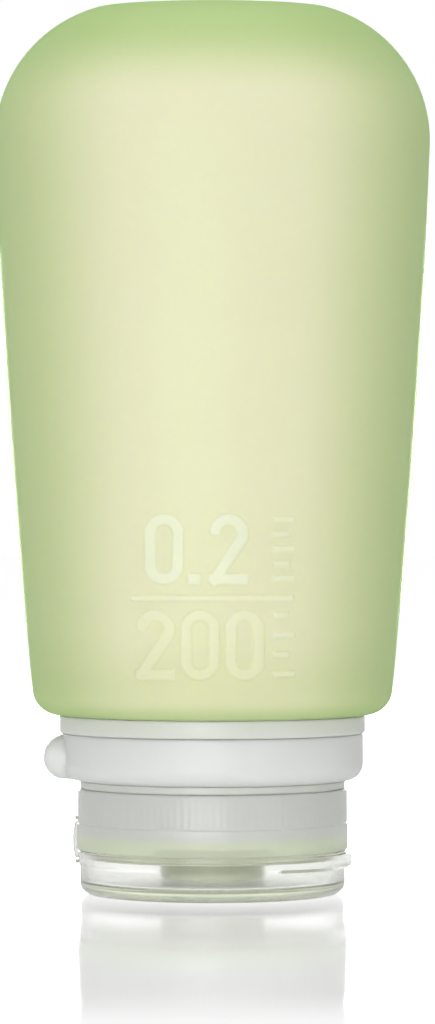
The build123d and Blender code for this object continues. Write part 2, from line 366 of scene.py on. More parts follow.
def painted(piece, tree, name, value):
    """Stores a share on each point of a mesh, and returns the socket that reads it."""
    share = piece.data.attributes.new(name, "FLOAT", "POINT")
    for vertex in piece.data.vertices:
        share.data[vertex.index].value = value(*vertex.co)
    reader = tree.nodes.new("ShaderNodeAttribute")
    reader.attribute_name = name
    return reader.outputs["Fac"]


def eased(value, start, end):
    """A smooth step from 0 at the start to 1 at the end."""
    share = min(1, max(0, (value - start) / (end - start)))
    return share * share * (3 - 2 * share)


# Shares for the painted shade on the body: a deep green painted towards the sides, the flat end and
# the shoulder's foot.
side_share, side_from, side_to = 0.67, 0.35, 0.95
end_from, end_to = body_high.z - 15 * mm, body_high.z - 3 * mm
rim_share, rim_from, rim_to = 0.72, foot_z + 2.6 * mm, foot_z + 0.4 * mm
shoulder_share, shoulder_from, shoulder_to = 0.26, foot_z + 14 * mm, foot_z + 4 * mm
# The painted highlight on the marks other than the upper row's bold ones is this share of the full
# one.
faint_highlight_share = 0.17


def painted_edge_shade(x, y, z):
    """Painted shade: how much deep green is painted where the body looks darker, at the sides, the
    flat end and the shoulder's foot.
    """
    if z > corner_z:
        bend = math.asin(min(1, (z - corner_z) / corner_radius))
        half_width = end_half_width - corner_radius * (1 - math.cos(bend))
    else:
        widening = (end_half_width - shoulder_half_width) * (z - side_z) / (corner_z - side_z)
        half_width = shoulder_half_width + widening
    sides = side_share * eased(abs(x) / half_width, side_from, side_to)
    end = eased(z, end_from, end_to)
    rim = rim_share * eased(z, rim_from, rim_to)
    shoulder = shoulder_share * eased(z, shoulder_from, shoulder_to)
    return 1 - (1 - sides) * (1 - end) * (1 - rim) * (1 - shoulder)


def painted_mark_highlight(x, y, z):
    """A painted highlight: 1 on the face of a bold mark of the upper row, less on the others, 0
    beside them.
    """
    if y > 0 or abs(x) > marks_half_width or not marks_low < z < marks_high:
        return 0
    bright = 1 if z > upper_base - mark_edge and x < tick_start - fine_stroke else faint_highlight_share
    return bright * mark_rise(x, z) / mark_height


silicone, tree, shader = moulded_plastic(
    "Frosted green silicone", (0.90, 0.85, 0.66), (0.88, 0.835, 0.64), (0.34, 0.38), 0.004 * mm,
    grain_scale=1800, cloud_scale=60,
)
painted_shade_green, mark_highlight_cream = (0.52, 0.63, 0.32), (1.0, 0.91, 0.74)
# Painted light and shade: the light cream in the middle stands for a glow of light through the thin
# walls, and the deep green is painted shade towards the sides, the flat end and the foot.
blended(tree, shader, painted(squeeze_body, tree, "depth", painted_edge_shade), painted_shade_green)
# A painted highlight: the faces of the marks are painted a lighter cream, most on the bold marks of
# the upper row.
blended(tree, shader, painted(squeeze_body, tree, "mark", painted_mark_highlight), mark_highlight_cream)
finished(shader, {
    "IOR": 1.25, "Specular Tint": (0.6, 0.8, 0.4, 1), "Transmission Weight": 0.2,
    "Subsurface Weight": 1, "Subsurface Radius": (1, 1, 0.7), "Subsurface Scale": 4 * mm,
    "Coat Weight": 1, "Coat IOR": 1.01, "Coat Roughness": 0.5, "Coat Tint": (0.94, 0.98, 0.90, 1),
})
soak(tree, (0.94, 0.97, 0.88), 100)
squeeze_body.data.materials.append(silicone)
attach(squeeze_body, "bottle")
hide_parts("squeeze_body")


# Neck collar
# A hard milky collar is moulded round the neck. It carries the screw thread, a bead that keeps the
# ring on, the track that the ring turns on and a broad band that backs the body's shoulder.
sleeve_bore = 16.35 * mm
thread_root = 18.2 * mm
track_radius = 19.3 * mm
bead_radius = 19.85 * mm
bead_low = 15.92 * mm
bead_high = 17.03 * mm
band_radius = collar_high.x
band_low = 24.2 * mm
band_inner = band_radius - 1.4 * mm
flange_low = collar_high.z - 1.45 * mm
thread_lead = 4.2 * mm
thread_starts = 2
thread_depth = 0.45 * mm
thread_fade = 0.6 * mm
thread_step = 0.16 * mm
wall_reach = 0.1 * mm
collar_turns = 288


def rounded(corners, steps=5):
    """A closed outline of (radius, height) points, with an arc of its own bend at each corner."""
    points = []
    for k, (x, z, bend) in enumerate(corners):
        here = Vector((x, z))
        back = Vector(corners[k - 1][:2]) - here
        ahead = Vector(corners[(k + 1) % len(corners)][:2]) - here
        if not bend:
            points.append((x, z))
            continue
        half = back.angle(ahead) / 2
        back.normalize()
        ahead.normalize()
        reach = bend / math.tan(half)
        centre = here + (back + ahead).normalized() * bend / math.sin(half)
        start = here + back * reach - centre
        end = here + ahead * reach - centre
        sweep = start.angle_signed(end)
        for step in range(steps + 1):
            turn = -sweep * step / steps
            points.append((
                centre.x + start.x * math.cos(turn) - start.y * math.sin(turn),
                centre.y + start.x * math.sin(turn) + start.y * math.cos(turn),
            ))
    return points


def spaced(points, radius, step):
    """The same outline, with the upright wall near a radius divided into short steps."""
    out = []
    for k, (x, z) in enumerate(points):
        x1, z1 = points[(k + 1) % len(points)]
        out.append((x, z))
        near = max(abs(x - radius), abs(x1 - radius)) < wall_reach
        count = max(1, round(abs(z1 - z) / step)) if near else 1
        for part in range(1, count):
            out.append((x + (x1 - x) * part / count, z + (z1 - z) * part / count))
    return out


def raised(rows, reach, low, high, mark):
    """Marks the rows beyond a radius between two heights, with doubled rows at both heights."""
    rows = [(*row, "")[:3] for row in rows]
    out = []
    for k, (x, z, marks) in enumerate(rows):
        x1, z1 = rows[(k + 1) % len(rows)][:2]
        out.append((x, z, marks + mark if low < z < high and x > reach else marks))
        beyond = min(x, x1) > reach
        edges = [edge for edge in (low, high) if beyond and (z - edge) * (z1 - edge) < 0]
        for edge in edges if z < z1 else edges[::-1]:
            at = x + (x1 - x) * (edge - z) / (z1 - z)
            pair = [(at, edge, marks), (at, edge, marks + mark)]
            out += pair if (z < z1) == (edge == low) else pair[::-1]
    return out


def evenly(count):
    """Even turns round the axis."""
    return [2 * math.pi * k / count for k in range(count)]


def turned_point(section, turn):
    """A point of a turned outline."""
    radius, height = section[:2]
    return radius * math.cos(turn), radius * math.sin(turn), height


def sums(tree):
    """A short hand for one tree's math nodes: a function (operation, a, b) that gives a socket."""
    def add(operation, *values):
        node = tree.nodes.new("ShaderNodeMath")
        node.operation = operation
        for socket, value in zip(node.inputs, values):
            if isinstance(value, (int, float)):
                socket.default_value = value
            else:
                tree.links.new(value, socket)
        return node.outputs[0]
    return add


def relief_tree(name, sizes):
    """A geometry tree that pushes one turned wall in or out, with its parts for the wave."""
    tree = bpy.data.node_groups.new(name, "GeometryNodeTree")
    tree.interface.new_socket("Geometry", in_out="INPUT", socket_type="NodeSocketGeometry")
    for size in sizes + ["Wall Radius", "Wall Reach", "Low", "High", "Fade", "Depth"]:
        tree.interface.new_socket(size, in_out="INPUT", socket_type="NodeSocketFloat")
    tree.interface.new_socket("Material", in_out="INPUT", socket_type="NodeSocketMaterial")
    tree.interface.new_socket("Geometry", in_out="OUTPUT", socket_type="NodeSocketGeometry")
    given = tree.nodes.new("NodeGroupInput").outputs
    add = sums(tree)
    position = tree.nodes.new("GeometryNodeInputPosition")
    parts = tree.nodes.new("ShaderNodeSeparateXYZ")
    tree.links.new(position.outputs[0], parts.inputs[0])
    x, y, z = parts.outputs
    radius = add("SQRT", add("ADD", add("MULTIPLY", x, x), add("MULTIPLY", y, y)))
    turn = add("DIVIDE", add("ARCTAN2", y, x), 2 * math.pi)
    return tree, given, add, radius, turn, x, y, z


def finish_relief(tree, given, add, radius, x, y, z, wave):
    """Wires the wave into Set Position on the chosen wall, faded out at both ends."""
    rise = add("DIVIDE", add("SUBTRACT", z, given["Low"]), given["Fade"])
    fall = add("DIVIDE", add("SUBTRACT", given["High"], z), given["Fade"])
    window = add("MINIMUM", 1, add("MAXIMUM", 0, add("MINIMUM", rise, fall)))
    aside = add("ABSOLUTE", add("SUBTRACT", radius, given["Wall Radius"]))
    near = add("LESS_THAN", aside, given["Wall Reach"])
    push = add("MULTIPLY", add("MULTIPLY", wave, window), add("MULTIPLY", near, given["Depth"]))
    offset = tree.nodes.new("ShaderNodeCombineXYZ")
    tree.links.new(add("MULTIPLY", push, add("DIVIDE", x, radius)), offset.inputs[0])
    tree.links.new(add("MULTIPLY", push, add("DIVIDE", y, radius)), offset.inputs[1])
    move = tree.nodes.new("GeometryNodeSetPosition")
    tree.links.new(given["Geometry"], move.inputs["Geometry"])
    tree.links.new(offset.outputs[0], move.inputs["Offset"])
    realize = tree.nodes.new("GeometryNodeRealizeInstances")
    tree.links.new(move.outputs[0], realize.inputs[0])
    dress = tree.nodes.new("GeometryNodeSetMaterial")
    tree.links.new(realize.outputs[0], dress.inputs["Geometry"])
    tree.links.new(given["Material"], dress.inputs["Material"])
    tree.links.new(dress.outputs[0], tree.nodes.new("NodeGroupOutput").inputs[0])
    return tree


def screw_thread():
    """A helical ridge with a flat crest. It climbs by the lead in a turn, in so many starts."""
    flank = 4
    sizes = ["Lead", "Starts", "Phase"]
    tree, given, add, radius, turn, x, y, z = relief_tree("Screw thread", sizes)
    climb = add("SUBTRACT", add("DIVIDE", z, given["Lead"]), turn)
    phase = add("FRACT", add("ADD", add("MULTIPLY", climb, given["Starts"]), given["Phase"]))
    tooth = add("MULTIPLY", add("ABSOLUTE", add("SUBTRACT", phase, 0.5)), 2)
    wave = add("MINIMUM", 1, add("MAXIMUM", 0, add("MULTIPLY", add("SUBTRACT", tooth, 0.5), flank)))
    return finish_relief(tree, given, add, radius, x, y, z, wave)


def evaluated_mesh(piece):
    """A new mesh of a piece, with its modifiers carried out."""
    bpy.context.view_layer.update()
    graph = bpy.context.evaluated_depsgraph_get()
    return bpy.data.meshes.new_from_object(piece.evaluated_get(graph))


def with_relief(piece, tree, material, sizes):
    """Runs a relief tree on a piece and keeps the result as a plain mesh."""
    modifier = piece.modifiers.new(tree.name, "NODES")
    modifier.node_group = tree
    for item in tree.interface.items_tree:
        if item.in_out == "INPUT" and item.name in sizes:
            modifier[item.identifier] = sizes[item.name]
        if item.in_out == "INPUT" and item.name == "Material":
            modifier[item.identifier] = material
    shaped = evaluated_mesh(piece)
    piece.modifiers.remove(modifier)
    piece.data = shaped
    smooth_and_close(shaped)


thread = screw_thread()
thread_low, thread_high = collar_low.z + 0.7 * mm, bead_low - 0.35 * mm
collar_outline = rounded([
    (sleeve_bore, collar_low.z, 0.2 * mm),
    (thread_root, collar_low.z, 0.3 * mm),
    (thread_root, bead_low, 0.1 * mm),
    (bead_radius, bead_low, 0.15 * mm),
    (bead_radius, bead_high, 0.15 * mm),
    (track_radius, bead_high, 0.1 * mm),
    (track_radius, flange_low, 0.2 * mm),
    (band_inner, flange_low, 0.2 * mm),
    (band_inner, band_low, 0.1 * mm),
    (band_radius, band_low, 0.3 * mm),
    (band_radius, collar_high.z, 0.3 * mm),
    (sleeve_bore, collar_high.z, 0.1 * mm),
])
collar_rows = spaced(collar_outline, thread_root, thread_step)
neck_collar = skin("neck_collar_shell", collar_rows, evenly(collar_turns), turned_point)
milky, tree, shader = moulded_plastic(
    "Milky collar plastic", (0.73, 0.75, 0.69), (0.71, 0.74, 0.67), (0.36, 0.44), 0.01 * mm
)
finished(shader, {
    "IOR": 1.4, "Transmission Weight": 0.15,
    "Subsurface Weight": 1, "Subsurface Radius": (1, 1, 1), "Subsurface Scale": 2 * mm,
})
with_relief(neck_collar, thread, milky, {
    "Lead": thread_lead, "Starts": thread_starts, "Phase": 0.5,
    "Wall Radius": thread_root, "Wall Reach": wall_reach,
    "Low": thread_low, "High": thread_high, "Fade": thread_fade, "Depth": thread_depth,
})
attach(neck_collar, "bottle")
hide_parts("neck_collar")


# Print band
# A white sleeve pressed on the collar's track. It carries the numbers that the ring's window shows,
# one at a time, so that the owner can note what is in the bottle. The ink is printed on it.
band_box_low, band_box_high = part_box("index_band")
print_band_outer = band_box_high.x
print_band_inner = print_band_outer - 1.3 * mm
print_band_round = 0.15 * mm
print_band_turns = 192
print_band = skin("print_band", rounded([
    (print_band_inner, band_box_low.z, print_band_round),
    (print_band_outer, band_box_low.z, print_band_round),
    (print_band_outer, band_box_high.z, print_band_round),
    (print_band_inner, band_box_high.z, print_band_round),
]), evenly(print_band_turns), turned_point)
white = moulded_plastic(
    "White band plastic", (0.88, 0.88, 0.86), (0.85, 0.85, 0.83), (0.42, 0.5), 0.008 * mm
)[0]
print_band.data.materials.append(white)
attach(print_band, "bottle")
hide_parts("index_band")

number_height = 2.1 * mm
figure_share = 0.73
ink_depth = 0.02 * mm
number_gap = 0.03 * mm
number_count = 8
number_z = 20.55 * mm
joined = bmesh.new()
for place in range(number_count):
    text = bpy.data.curves.new("number", "FONT")
    text.body = str(place + 1)
    text.size = number_height / figure_share
    text.align_x = "CENTER"
    text.extrude = ink_depth
    holder = bpy.data.objects.new("number", text)
    scene.collection.objects.link(holder)
    flat = evaluated_mesh(holder)
    bpy.data.objects.remove(holder)
    centre = math.pi + 2 * math.pi * place / number_count
    for vertex in flat.vertices:
        radius = print_band_outer + number_gap + vertex.co.z
        turn = centre + vertex.co.x / print_band_outer
        height = number_z - number_height / 2 + vertex.co.y
        vertex.co = (radius * math.cos(turn), radius * math.sin(turn), height)
    joined.from_mesh(flat)
ink_mesh = bpy.data.meshes.new("band_numbers")
joined.to_mesh(ink_mesh)
joined.free()
smooth_and_close(ink_mesh)
band_numbers = bpy.data.objects.new("band_numbers", ink_mesh)
scene.collection.objects.link(band_numbers)
ink = moulded_plastic("Grey ink", (0.09, 0.10, 0.10), (0.13, 0.14, 0.14), (0.5, 0.6), 0.004 * mm)[0]
ink_mesh.materials.clear()
ink_mesh.materials.append(ink)
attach(band_numbers, "bottle")


# Turning ring
# A satin white ring snaps over the bead and turns on the track, over the print band. It is moulded
# with a round-nosed lug to push it by, and the lug has a window down to the band.
ring_low, ring_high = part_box("indicator_ring")
ring_outer = 22.6 * mm
ring_bore = 21.1 * mm
ring_lip_bore = 19.45 * mm
ring_lip_z = ring_low.z + 1.2 * mm
ring_base_round = 2.5 * mm
ring_top = ring_high.z + 0.17 * mm
ring_mid = (ring_low.z + ring_high.z) / 2
ring_step = 0.2 * mm
ring_turns = 480
outer_wall = ring_bore + 0.2 * mm
lug_turn = math.pi
lug_reach = 2.8 * mm
lug_length = 5.0 * mm
lug_radius = (ring_high.z - ring_low.z) / 2 - 0.15 * mm
lug_centre = ring_outer + lug_reach - lug_radius
lug_half_turn = lug_length / 2 / lug_centre
lug_blend = 0.9 * mm
window_length = 5.4 * mm
window_height = 3.0 * mm
window_start = ring_bore - 0.6 * mm
window_stop = ring_outer + lug_reach + 1.0 * mm
slot_steps = 16


def ring_point(section, turn):
    """A point of the ring; the outer wall is pushed out into the lug, with a soft fillet."""
    radius, height = section[:2]
    away = abs((turn - lug_turn + math.pi) % (2 * math.pi) - math.pi)
    past = max(0, away - lug_half_turn)
    side = lug_centre * math.sin(past)
    room = lug_radius ** 2 - (height - ring_mid) ** 2 - side ** 2
    if radius > outer_wall and past < math.pi / 4:
        lug = lug_centre * math.cos(past) + math.copysign(math.sqrt(abs(room)), room)
        mixed = max(lug_blend - abs(lug - radius), 0) / lug_blend
        radius = max(lug, radius) + mixed * mixed * lug_blend / 4
    return radius * math.cos(turn), radius * math.sin(turn), height


ring_outline = rounded([
    (ring_lip_bore, ring_low.z, 0.25 * mm),
    (ring_outer, ring_low.z, ring_base_round),
    (ring_outer, ring_top, 0.25 * mm),
    (ring_bore, ring_top, 0.2 * mm),
    (ring_bore, ring_lip_z, 0.2 * mm),
    (ring_lip_bore, ring_lip_z, 0.25 * mm),
], steps=9)
ring_rows = spaced(ring_outline, ring_outer, ring_step)
turning_ring = skin("turning_ring", ring_rows, evenly(ring_turns), ring_point)
cutter_points = []
for reach in (window_start, window_stop):
    for side in (1, -1):
        for step in range(slot_steps + 1):
            turn = math.pi * (step / slot_steps - 0.5) + (0 if side > 0 else math.pi)
            cutter_points.append((
                -reach,
                side * (window_length - window_height) / 2 + window_height / 2 * math.cos(turn),
                ring_mid + window_height / 2 * math.sin(turn),
            ))
loop = 2 * (slot_steps + 1)
cutter_faces = [tuple(range(loop)), tuple(range(2 * loop - 1, loop - 1, -1))]
cutter_faces += [(k, k + loop, (k + 1) % loop + loop, (k + 1) % loop) for k in range(loop)]
cutter_mesh = bpy.data.meshes.new("window_cutter")
cutter_mesh.from_pydata(cutter_points, [], cutter_faces)
smooth_and_close(cutter_mesh)
cutter = bpy.data.objects.new("window_cutter", cutter_mesh)
scene.collection.objects.link(cutter)
cut = turning_ring.modifiers.new("window", "BOOLEAN")
cut.operation = "DIFFERENCE"
cut.solver = "EXACT"
cut.object = cutter
windowed = evaluated_mesh(turning_ring)
turning_ring.modifiers.remove(cut)
bpy.data.objects.remove(cutter)
turning_ring.data = windowed
smooth_and_close(windowed)
satin, tree, shader = moulded_plastic(
    "Satin ring plastic", (0.72, 0.73, 0.72), (0.70, 0.71, 0.70), (0.38, 0.46), 0.01 * mm
)
finished(shader, {
    "IOR": 1.4, "Transmission Weight": 0.05,
    "Subsurface Weight": 1, "Subsurface Radius": (1, 1, 1), "Subsurface Scale": 3 * mm,
})
windowed.materials.clear()
windowed.materials.append(satin)
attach(turning_ring, "ring")
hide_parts("indicator_ring")


# Slit valve
# A soft silicone valve sits in the nozzle and opens only under pressure: a thick rim round a thin
# bowed membrane with two crossed slits. The copy of its solid is welded and smoothed.
def smooth_copy(node, name):
    """A welded, smooth-shaded copy of a solid's mesh."""
    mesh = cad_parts[node].data.copy()
    mesh.name = name
    mesh.materials.clear()
    smooth_and_close(mesh)
    piece = bpy.data.objects.new(name, mesh)
    scene.collection.objects.link(piece)
    return piece


slit_valve = smooth_copy("cap_valve", "slit_valve")
valve_silicone, tree, shader = moulded_plastic(
    "Green valve silicone", (0.80, 0.92, 0.60), (0.76, 0.90, 0.56), (0.4, 0.48), 0.01 * mm
)
finished(shader, {"IOR": 1.41, "Transmission Weight": 0.4})
slit_valve.data.materials.append(valve_silicone)
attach(slit_valve, "cap_core")
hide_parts("cap_valve")


# Valve retainer
# A hard ring pressed into the nozzle behind the valve. It is turned, with a lead-in chamfer on its
# inner edge, and is left in natural plastic because nothing shows it once the cap is on.
retainer_low, retainer_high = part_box("valve_retainer")
retainer_inner = retainer_high.x - 2.1 * mm
retainer_chamfer = 0.5 * mm
retainer_turns = 144
valve_retainer = skin("retainer_ring", rounded([
    (retainer_inner, retainer_low.z, 0.1 * mm),
    (retainer_high.x, retainer_low.z, 0.15 * mm),
    (retainer_high.x, retainer_high.z, 0.1 * mm),
    (retainer_inner + retainer_chamfer, retainer_high.z, 0.1 * mm),
    (retainer_inner, retainer_high.z - retainer_chamfer, 0.1 * mm),
]), evenly(retainer_turns), turned_point)
natural, tree, shader = moulded_plastic(
    "Natural retainer plastic", (0.84, 0.86, 0.82), (0.81, 0.83, 0.79), (0.4, 0.48), 0.008 * mm
)
finished(shader, {"Transmission Weight": 0.3})
valve_retainer.data.materials.append(natural)
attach(valve_retainer, "cap_core")
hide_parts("valve_retainer")


# Screw cap
# Moulded in frosted plastic: a skirt with fine upright ribs for grip and a thread inside, a deck
# with the nozzle and the ring that the lid snaps on, and a small bar for the hinge strap.
cap_low, cap_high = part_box("cap_shell")
cap_bore = 18.85 * mm
skirt_radius = 20.2 * mm
low_skirt_radius = 20.35 * mm
deck_z = 6.75 * mm
deck_top = 7.85 * mm
step_z = 10.75 * mm
step_run, step_fall = 0.6 * mm, 0.15 * mm
snap_radius = 18.4 * mm
snap_wall = 1.1 * mm
snap_z = 5.45 * mm
snap_bead = 0.18 * mm
bead_crest, bead_end = 0.2 * mm, 0.4 * mm
nozzle_radius = 7.8 * mm
nozzle_end = cap_low.z - 0.35 * mm
recess_radius = 6.1 * mm
ledge_z = cap_low.z + 0.6 * mm
ledge_top = ledge_z + 0.6 * mm
aperture_radius = 4.9 * mm
valve_bore = 6.9 * mm
hinge_turn = math.radians(152)
hinge_radius = 20.75 * mm
strap_half = 0.225 * mm
bar_face = hinge_radius + strap_half
bar_half_width = 4.9 * mm
bar_height = 0.65 * mm
bar_gap = 0.12 * mm
upper_hinge_z = 10.3 * mm
lower_hinge_z = 5.1 * mm
rib_count = 120
steps_per_rib = 6
rib_depth = 0.08 * mm
rib_low, rib_high = step_z + 0.2 * mm, cap_high.z - 0.5 * mm
rib_reach, rib_fade = 0.06 * mm, 0.5 * mm
cap_step = 0.2 * mm
nut_low, nut_high = deck_top + 1.6 * mm, cap_high.z - 0.5 * mm
# Heights over which the painted glow on the deck and the nozzle fades out.
deck_glow, nozzle_glow = 2.2 * mm, 0.3 * mm


def bar_radius(turn, radius):
    """The reach of the hinge bar's flat face at a turn, or the wall's own radius beside it."""
    away = (turn - hinge_turn + math.pi) % (2 * math.pi) - math.pi
    if abs(away) > math.pi / 4 or abs(bar_face * math.tan(away)) > bar_half_width:
        return radius
    return bar_face / math.cos(away)


def cap_point(section, turn):
    """A point of the cap; the rows marked as bar reach out to the hinge bar's face."""
    radius, height, marks = section
    if marks:
        radius = bar_radius(turn, radius)
    return radius * math.cos(turn), radius * math.sin(turn), height


cap_bar_low = upper_hinge_z + strap_half + bar_gap
cap_bar_high = cap_bar_low + bar_height
cap_outline = rounded([
    (cap_bore, cap_high.z, 0.3 * mm),
    (skirt_radius, cap_high.z, 0.3 * mm),
    (skirt_radius, step_z + step_run, 0),
    (skirt_radius, step_z, 0.15 * mm),
    (low_skirt_radius, step_z - step_fall, 0.15 * mm),
    (low_skirt_radius, deck_z, 0.25 * mm),
    (snap_radius, deck_z, 0.1 * mm),
    (snap_radius, snap_z + bead_end, 0.05 * mm),
    (snap_radius + snap_bead, snap_z + bead_crest, 0.08 * mm),
    (snap_radius, snap_z, 0.15 * mm),
    (snap_radius - snap_wall, snap_z, 0.3 * mm),
    (snap_radius - snap_wall, deck_z, 0.3 * mm),
    (nozzle_radius, deck_z, 0.3 * mm),
    (nozzle_radius, nozzle_end, 0.25 * mm),
    (recess_radius, nozzle_end, 0.2 * mm),
    (recess_radius, ledge_z, 0.1 * mm),
    (aperture_radius, ledge_z, 0.15 * mm),
    (aperture_radius, ledge_top, 0.15 * mm),
    (valve_bore, ledge_top, 0.05 * mm),
    (valve_bore, deck_top, 0.15 * mm),
    (cap_bore, deck_top, 0.2 * mm),
], steps=3)
cap_rows = spaced(cap_outline, cap_bore, cap_step)
cap_rows = raised(cap_rows, skirt_radius - wall_reach, cap_bar_low, cap_bar_high, "bar")
screw_cap = skin("screw_cap", cap_rows, evenly(rib_count * steps_per_rib), cap_point)


def upright_ribs():
    """Fine upright ribs round a wall: a rounded wave, as many to the turn as given."""
    tree, given, add, radius, turn, x, y, z = relief_tree("Upright ribs", ["Count"])
    angle = add("MULTIPLY", add("MULTIPLY", turn, given["Count"]), 2 * math.pi)
    wave = add("MULTIPLY", add("SUBTRACT", add("COSINE", angle), 1), 0.5)
    return finish_relief(tree, given, add, radius, x, y, z, wave)


frosted, tree, shader = moulded_plastic(
    "Frosted cap plastic", (0.87, 0.88, 0.86), (0.85, 0.86, 0.84), (0.29, 0.34), 0.004 * mm
)
finished(shader, {"IOR": 1.3, "Transmission Weight": 0.57})
soak(tree, (0.80, 0.84, 0.74), 40)
place = tree.nodes.new("ShaderNodeTexCoord")
parts = tree.nodes.new("ShaderNodeSeparateXYZ")
tree.links.new(place.outputs["Object"], parts.inputs[0])
# Painted light: the cap is painted pale green up to a little over the deck, a painted glow that
# stands for the green valve's light. The part below the deck, with the nozzle, is painted lighter
# still, as painted light where it sits in the lid's shade.
painted_deck_glow, painted_nozzle_glow = (0.90, 0.95, 0.775), (0.98, 1.0, 0.87)
for low, high, colour in (
    (deck_top, deck_top + deck_glow, painted_deck_glow), (deck_z - nozzle_glow, deck_z, painted_nozzle_glow),
):
    blended(tree, shader, ranged(tree, parts.outputs["Z"], low, high, 1, 0, "SMOOTHSTEP"), colour)
with_relief(screw_cap, thread, frosted, {
    "Lead": thread_lead, "Starts": thread_starts, "Phase": 0.0,
    "Wall Radius": cap_bore, "Wall Reach": wall_reach,
    "Low": nut_low, "High": nut_high, "Fade": thread_fade, "Depth": -thread_depth,
})
with_relief(screw_cap, upright_ribs(), frosted, {
    "Count": rib_count, "Wall Radius": skirt_radius, "Wall Reach": rib_reach,
    "Low": rib_low, "High": rib_high, "Fade": rib_fade, "Depth": rib_depth,
})
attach(screw_cap, "cap")
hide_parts("cap_shell")


# Flip lid
# A clear cup with a flat outer face to stand on, moulded with a plug ring that closes the nozzle,
# a snap bead inside the rim, a thumb tab opposite the hinge and the hinge's lower bar.
lid_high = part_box("flip_lid")[1]
lid_rim_radius = 20.1 * mm
lid_base_radius = 19.9 * mm
lid_rim_bore = 18.75 * mm
lid_base_bore = 18.55 * mm
lid_base_round = 1.9 * mm
lid_floor = 1.9 * mm
plug_radius = 5.2 * mm
plug_wall = 1.0 * mm
plug_round = 0.25 * mm
plug_top = lid_floor + 1.0 * mm
tab_radius = 15.8 * mm
tab_reach = 1.4 * mm
tab_centre = lid_rim_radius + tab_reach - tab_radius
tab_high = lid_high.z - 0.15 * mm
tab_low = tab_high - 2.2 * mm
tab_round = 0.6 * mm
taper_start = tab_low + 0.02 * mm
tab_turn = hinge_turn - math.pi
lid_bar_high = lower_hinge_z - strap_half - bar_gap
lid_bar_low = lid_bar_high - bar_height
lid_step = 0.1 * mm
lid_turns = 720


def tab_point_radius(turn, height, radius):
    """The reach of the thumb tab's disc at a turn, with its lower edge rounded."""
    away = (turn - tab_turn + math.pi) % (2 * math.pi) - math.pi
    if abs(away) > math.pi / 2:
        return radius
    drop = max(0, tab_low + tab_round - height)
    disc = tab_radius - tab_round + math.sqrt(max(0, tab_round ** 2 - drop ** 2))
    reach = math.sqrt(disc ** 2 - (tab_centre * math.sin(away)) ** 2)
    return max(radius, tab_centre * math.cos(away) + reach)


def lid_point(section, turn):
    """A point of the lid; rows marked tab or bar reach out to the thumb tab or to the hinge bar."""
    radius, height, marks = section
    if "tab" in marks:
        radius = tab_point_radius(turn, height, radius)
    if "bar" in marks:
        radius = bar_radius(turn, radius)
    return radius * math.cos(turn), radius * math.sin(turn), height


lid_outline = rounded([
    (lid_rim_radius, lid_high.z, 0.15 * mm),
    (lid_rim_bore, lid_high.z, 0.1 * mm),
    (lid_rim_bore - snap_bead, lid_high.z - bead_crest, 0.06 * mm),
    (lid_rim_bore, lid_high.z - bead_end, 0.05 * mm),
    (lid_base_bore, lid_floor, 0.8 * mm),
    (plug_radius, lid_floor, plug_round),
    (plug_radius, plug_top, plug_round),
    (plug_radius - plug_wall, plug_top, plug_round),
    (plug_radius - plug_wall, lid_floor, plug_round),
    (0, lid_floor, 0),
    (0, 0, 0),
    (lid_base_radius, 0, lid_base_round),
    (lid_base_radius, taper_start, 0),
    (lid_rim_radius, tab_low + tab_round, 0),
], steps=6)
lid_rows = spaced(lid_outline, lid_base_radius, lid_step)
lid_rows = raised(lid_rows, lid_base_radius - wall_reach, tab_low, tab_high, "tab")
lid_rows = raised(lid_rows, lid_base_radius - wall_reach, lid_bar_low, lid_bar_high, "bar")
flip_lid = skin("clear_lid", lid_rows, evenly(lid_turns), lid_point)
clear, tree, shader = moulded_plastic(
    "Clear lid plastic", (0.955, 0.955, 0.95), (0.95, 0.955, 0.945), (0.2, 0.24), 0.002 * mm,
    grain_scale=900, cloud_scale=40,
)
finished(shader, {"IOR": 1.22, "Transmission Weight": 1})
soak(tree, (0.84, 0.86, 0.78), 75)
flip_lid.data.materials.append(clear)
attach(flip_lid, "lid")
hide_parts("flip_lid")


# Hinge strap
# A thin bowed strap joins the bar on the cap to the bar on the lid. It is moulded in one with them,
# bends along its two lines when the lid flips, and its ends are round where the lines are.
hinge_strap = smooth_copy("hinge_strap", "bowed_strap")
bending, tree, shader = moulded_plastic(
    "Bending strap plastic", (0.96, 0.97, 0.95), (0.94, 0.95, 0.93), (0.3, 0.36), 0.003 * mm
)
finished(shader, {"IOR": 1.2, "Transmission Weight": 0.6})
hinge_strap.data.materials.append(bending)
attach(hinge_strap, "strap")
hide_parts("hinge_strap")


# Studio
# A polished white table and a white surround. The table shows the bottle's reflection, which fades
# with the distance from the bottle. Two lamps at the front give the round pieces their shading, one
# behind lights the silicone through, and one overhead lights the table.
floor_half = 4.0
floor_drop = 0.03 * mm
near_share, far_share = 0.5, 0.12
near_edge, far_edge = 147 * mm, 180 * mm
foot_share = 0.3
foot_edge, foot_end = 20 * mm, 36 * mm
near_glow, far_glow = 0.93, 1.0
glow_start, glow_end = 60 * mm, 350 * mm
plain_level = 0.42
side_level = 0.62
side_tilt = 0.25
behind_start, behind_end = 0.3, 0.85
paint_colour = (0.93, 0.93, 0.93, 1)
polish_roughness = 0.07

